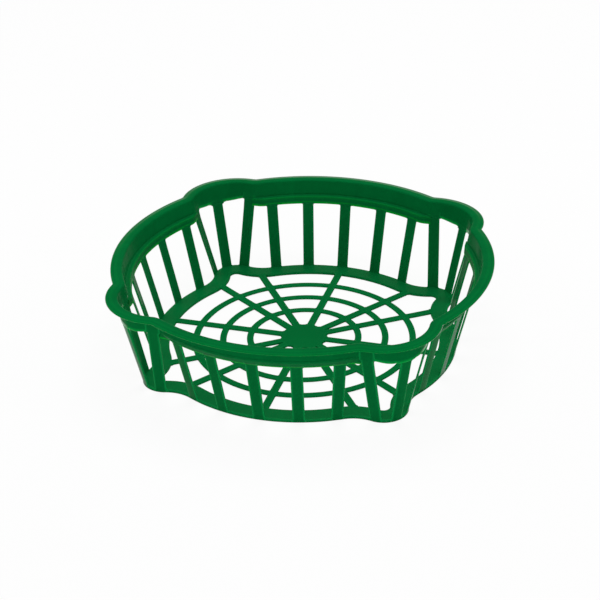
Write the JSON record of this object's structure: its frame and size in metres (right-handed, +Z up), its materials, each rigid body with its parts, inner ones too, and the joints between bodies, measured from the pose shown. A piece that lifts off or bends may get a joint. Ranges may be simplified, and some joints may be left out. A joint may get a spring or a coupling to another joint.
{
  "type": "bulb planting basket",
  "caption": "Shallow open planting basket with long curved sides and round corner lobes, a flanged rim, slatted walls and a web floor; holds bulbs in the soil and lifts out again.",
  "frame": {"origin": "middle of the underside of the foot ring, on the surface that the basket stands on", "axes": "+Z up; the four long sides face +X, -X, +Y and -Y and the corner lobes lie on the diagonals"},
  "size_m": [0.2026, 0.2026, 0.051],
  "materials": {
    "green_plastic": "semi-gloss injection-moulded polypropylene, dark green"
  },
  "bodies": {
    "root": {"rim_lip": "green_plastic", "rim_band": "green_plastic", "ledge_right": "green_plastic", "ledge_back": "green_plastic", "ledge_left": "green_plastic", "ledge_front": "green_plastic", "foot_ring": "green_plastic", "slat_right_1": "green_plastic", "slat_right_2": "green_plastic", "slat_right_3": "green_plastic", "slat_right_4": "green_plastic", "slat_right_5": "green_plastic", "notch_slat_right_a": "green_plastic", "notch_slat_right_b": "green_plastic", "lobe_slat_right_back": "green_plastic", "slat_back_1": "green_plastic", "slat_back_2": "green_plastic", "slat_back_3": "green_plastic", "slat_back_4": "green_plastic", "slat_back_5": "green_plastic", "notch_slat_back_a": "green_plastic", "notch_slat_back_b": "green_plastic", "lobe_slat_back_left": "green_plastic", "slat_left_1": "green_plastic", "slat_left_2": "green_plastic", "slat_left_3": "green_plastic", "slat_left_4": "green_plastic", "slat_left_5": "green_plastic", "notch_slat_left_a": "green_plastic", "notch_slat_left_b": "green_plastic", "lobe_slat_left_front": "green_plastic", "slat_front_1": "green_plastic", "slat_front_2": "green_plastic", "slat_front_3": "green_plastic", "slat_front_4": "green_plastic", "slat_front_5": "green_plastic", "notch_slat_front_a": "green_plastic", "notch_slat_front_b": "green_plastic", "lobe_slat_front_right": "green_plastic", "web_ring_inner": "green_plastic", "web_ring_middle": "green_plastic", "web_ring_outer": "green_plastic", "spoke_01": "green_plastic", "spoke_02": "green_plastic", "spoke_03": "green_plastic", "spoke_04": "green_plastic", "spoke_05": "green_plastic", "spoke_06": "green_plastic", "spoke_07": "green_plastic", "spoke_08": "green_plastic", "spoke_09": "green_plastic", "spoke_10": "green_plastic", "spoke_11": "green_plastic", "spoke_12": "green_plastic", "web_hub": "green_plastic"}
  },
  "joints": []
}
